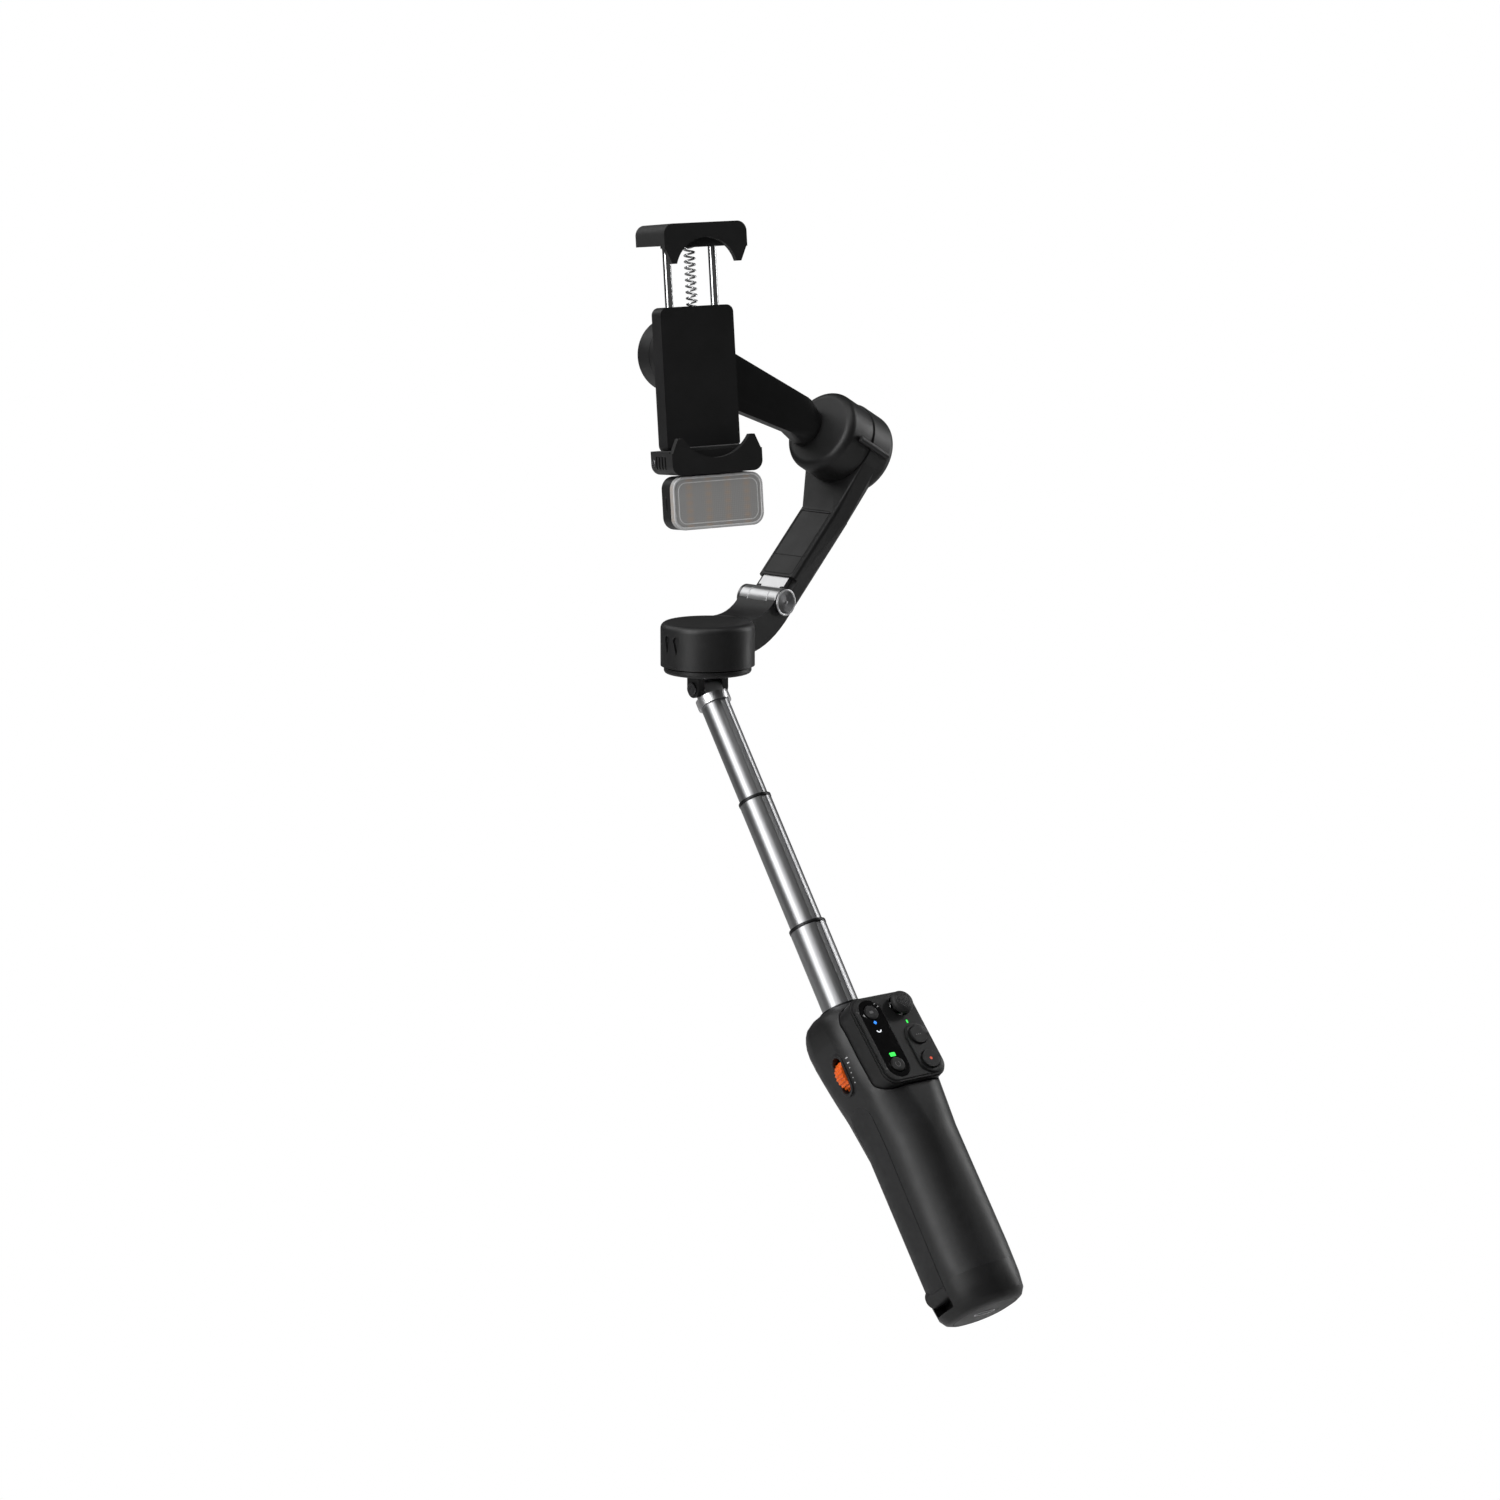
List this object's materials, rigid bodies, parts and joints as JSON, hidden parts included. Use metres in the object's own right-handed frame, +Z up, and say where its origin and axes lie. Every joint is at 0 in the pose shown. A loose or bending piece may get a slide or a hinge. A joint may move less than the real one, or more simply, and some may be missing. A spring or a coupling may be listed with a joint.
{
  "type": "smartphone gimbal",
  "caption": "Hand-held three-axis phone stabiliser on a telescopic rod, with sprung phone jaws, fill light, lift-off remote and fold-out legs in the grip.",
  "frame": {"origin": "on the rod's axis, in the middle of the hand grip, 217 mm below the neck pivot", "axes": "+Z up along the pan motor's axis, +X to the user's right along the neck pin, +Y away from the user; the handle leans 36 degrees"},
  "size_m": [0.1182, 0.2151, 0.4089],
  "materials": {
    "shell_black": "fine-textured matte black moulding",
    "rubber_grey": "soft matte dark rubber skin",
    "jaw_rubber": "matte black rubber",
    "tube_metal": "satin grey anodised aluminium",
    "ring_black": "dark satin ring",
    "silver": "satin silver",
    "cap_metal": "turned dark metal end caps and pins",
    "steel": "bright steel",
    "copper": "wound copper on a laminated core",
    "magnet": "plated magnet ring",
    "cell_wrap": "shrink-wrapped cell",
    "board": "soldermask",
    "contact_gold": "gold-plated contacts",
    "port_metal": "bright stamped socket shell",
    "dial_orange": "moulded orange wheel",
    "remote_black": "fine matte black moulding",
    "window": "glossy black window with lit signs",
    "button_black": "smooth black keys",
    "record_key": "black key with a red spot",
    "stick_rubber": "cross-hatched rubber cap",
    "diffuser": "ribbed translucent light window",
    "led_board": "white board with warm light chips"
  },
  "bodies": {
    "handle": {"handle_front_shell": "shell_black", "handle_rear_shell": "shell_black", "base_cap": "shell_black", "usb_socket": "port_metal", "battery_cell": "cell_wrap", "main_board": "board", "guide_tube": "ring_black", "dock_contacts": "contact_gold", "dial_axle": "steel", "leg_pins": "steel"},
    "left_leg": {"left_leg": "shell_black", "left_leg_grip": "rubber_grey"},
    "right_leg": {"right_leg": "shell_black", "right_leg_grip": "rubber_grey"},
    "rear_leg": {"rear_leg": "shell_black", "rear_leg_grip": "rubber_grey"},
    "dial": {"zoom_dial": "dial_orange"},
    "rod_lower": {"rod_lower": "tube_metal", "rod_lower_ring": "ring_black"},
    "rod_middle": {"rod_middle": "tube_metal", "rod_middle_ring": "ring_black"},
    "rod_upper": {"rod_upper": "tube_metal", "neck_knuckle": "silver"},
    "pan_base": {"clevis": "shell_black", "clevis_pin": "cap_metal", "pan_stator": "copper", "pan_bearing": "steel"},
    "pan_head": {"pan_housing": "shell_black", "pan_magnets": "magnet", "fold_knuckles": "silver", "fold_pin": "cap_metal"},
    "arm": {"fold_leaf": "silver", "arm_shell": "shell_black", "arm_cover": "shell_black", "tilt_stator": "copper", "tilt_bearing": "steel"},
    "tilt_arm": {"tilt_rotor": "shell_black", "link_arm": "shell_black", "roll_stator": "copper", "roll_bearing": "steel"},
    "clamp": {"roll_rotor": "shell_black", "clamp_block": "shell_black", "lower_jaw": "jaw_rubber", "lower_jaw_pad": "rubber_grey", "clamp_spring": "steel"},
    "upper_jaw": {"upper_jaw": "jaw_rubber", "jaw_rods": "steel", "upper_jaw_pad": "rubber_grey"},
    "light": {"light_case": "shell_black", "light_diffuser": "diffuser", "light_board": "led_board"},
    "remote": {"remote_case": "remote_black", "remote_window": "window", "remote_board": "board"},
    "stick_ring": {"joystick_ring": "steel"},
    "stick": {"joystick_stick": "stick_rubber"},
    "screen_key": {"screen_button": "button_black"},
    "power_key": {"power_button": "button_black"},
    "mode_key": {"mode_button": "button_black"},
    "record_key": {"record_button": "record_key"}
  },
  "joints": [
    {"name": "leg_left_fold", "type": "hinge", "parent": "handle", "child": "left_leg", "pos_m": [-0.0126, -0.03148, -0.03312], "axis": [0, -0.809, 0.5878], "range_deg": [0, 115]},
    {"name": "leg_right_fold", "type": "hinge", "parent": "handle", "child": "right_leg", "pos_m": [0.0126, -0.03148, -0.03312], "axis": [0, 0.809, -0.5878], "range_deg": [0, 115]},
    {"name": "leg_rear_fold", "type": "hinge", "parent": "handle", "child": "rear_leg", "pos_m": [0, -0.02258, -0.03959], "axis": [-1, 0, 0], "range_deg": [0, 128]},
    {"name": "dial_turn", "type": "hinge", "parent": "handle", "child": "dial", "pos_m": [-0.0138, 0.02092, 0.04104], "axis": [0, 0.809, -0.5878], "continuous": true},
    {"name": "rod_lower_slide", "type": "slide", "parent": "handle", "child": "rod_lower", "axis": [0, 0.5878, 0.809], "range_m": [-0.028, 0.02]},
    {"name": "rod_middle_slide", "type": "slide", "parent": "rod_lower", "child": "rod_middle", "axis": [0, 0.5878, 0.809], "range_m": [-0.054, 0]},
    {"name": "rod_upper_slide", "type": "slide", "parent": "rod_middle", "child": "rod_upper", "axis": [0, 0.5878, 0.809], "range_m": [-0.039, 0.011]},
    {"name": "neck_tilt", "type": "hinge", "parent": "rod_upper", "child": "pan_base", "pos_m": [0, 0.12761, 0.17564], "axis": [1, 0, 0], "range_deg": [-36, 36]},
    {"name": "pan", "type": "hinge", "parent": "pan_base", "child": "pan_head", "pos_m": [0, 0.12761, 0.20204], "axis": [0, 0, 1], "continuous": true},
    {"name": "arm_fold", "type": "hinge", "parent": "pan_head", "child": "arm", "pos_m": [0.03305, 0.13167, 0.20734], "axis": [0.1219, -0.9925, 0], "range_deg": [0, 45]},
    {"name": "tilt", "type": "hinge", "parent": "arm", "child": "tilt_arm", "pos_m": [0.07449, 0.13675, 0.26813], "axis": [-0.8764, -0.1076, 0.4695], "range_deg": [-110, 110]},
    {"name": "roll", "type": "hinge", "parent": "tilt_arm", "child": "clamp", "pos_m": [0.00296, 0.14227, 0.30686], "axis": [0.197, 0.9772, -0.0785], "range_deg": [-45, 95]},
    {"name": "jaw_slide", "type": "slide", "parent": "clamp", "child": "upper_jaw", "axis": [-0.0033, 0.0807, 0.9967], "range_m": [-0.018, 0.011], "deforming": ["clamp_spring"]},
    {"name": "light_pull", "type": "slide", "parent": "clamp", "child": "light", "axis": [0.0033, -0.0807, -0.9967], "range_m": [0, 0.008]},
    {"name": "remote_pull", "type": "slide", "parent": "handle", "child": "remote", "axis": [0, -0.7314, 0.682], "range_m": [0, 0.015]},
    {"name": "stick_left_right", "type": "hinge", "parent": "remote", "child": "stick_ring", "pos_m": [0.0077, 0.02074, 0.06321], "axis": [0, 0.682, 0.7314], "range_deg": [-11, 11], "stiffness_Nm_per_rad": 0.02},
    {"name": "stick_up_down", "type": "hinge", "parent": "stick_ring", "child": "stick", "pos_m": [0.0077, 0.02074, 0.06321], "axis": [1, 0, 0], "range_deg": [-11, 11], "stiffness_Nm_per_rad": 0.02},
    {"name": "screen_press", "type": "slide", "parent": "remote", "child": "screen_key", "axis": [0, 0.7314, -0.682], "range_m": [0, 0.0006], "stiffness_N_per_m": 300, "springref_m": -0.001},
    {"name": "power_press", "type": "slide", "parent": "remote", "child": "power_key", "axis": [0, 0.7314, -0.682], "range_m": [0, 0.0006], "stiffness_N_per_m": 300, "springref_m": -0.001},
    {"name": "mode_press", "type": "slide", "parent": "remote", "child": "mode_key", "axis": [0, 0.7314, -0.682], "range_m": [0, 0.0008], "stiffness_N_per_m": 300, "springref_m": -0.001},
    {"name": "record_press", "type": "slide", "parent": "remote", "child": "record_key", "axis": [0, 0.7314, -0.682], "range_m": [0, 0.0008], "stiffness_N_per_m": 300, "springref_m": -0.001}
  ]
}
